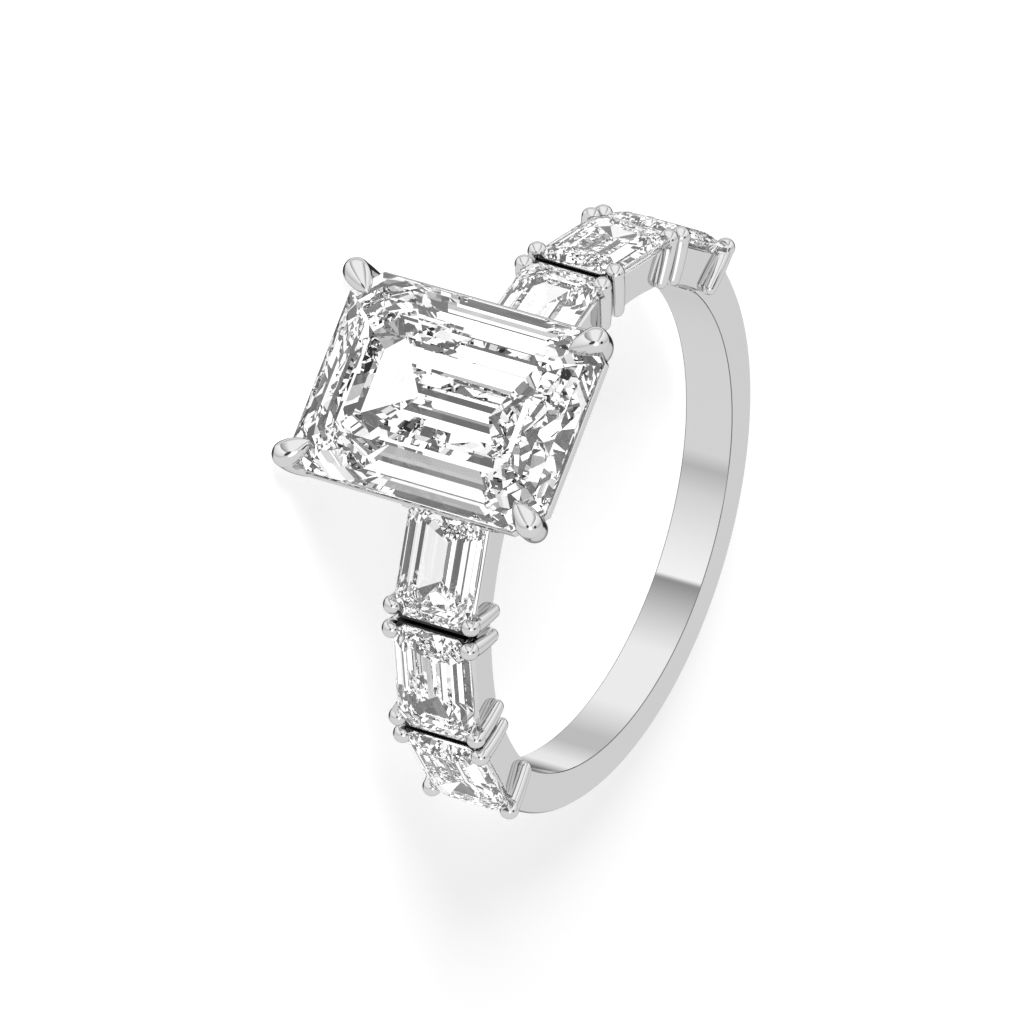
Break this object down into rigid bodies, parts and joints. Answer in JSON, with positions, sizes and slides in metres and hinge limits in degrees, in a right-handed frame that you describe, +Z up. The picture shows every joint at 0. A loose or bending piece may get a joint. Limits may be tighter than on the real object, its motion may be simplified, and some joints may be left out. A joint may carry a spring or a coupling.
{
  "type": "side stone ring",
  "caption": "Finger ring with a claw-set emerald-cut centre stone and ball-prong emerald-cut side stones on a flat shank.",
  "frame": {"origin": "middle of the box on the ground: X = 0 is the ring's plane of symmetry through the head and Z = 0 is the surface that the ring lies on", "axes": "+Z up, the head with the centre stone towards -Y, the shoulders towards -X and +X; the finger axis leans 10.4 degrees from +Z towards +Y, because the ring lies on the shank's far edge and the two lower claws"},
  "size_m": [0.0204, 0.0234, 0.0097],
  "materials": {
    "metal": "mirror-polished white precious metal",
    "stone": "clear step-cut stone, polished"
  },
  "bodies": {
    "root": {"mount": "metal", "centre_stone": "stone", "side_stone_1": "stone", "side_stone_2": "stone", "side_stone_3": "stone", "side_stone_4": "stone", "side_stone_5": "stone", "side_stone_6": "stone"}
  },
  "joints": []
}
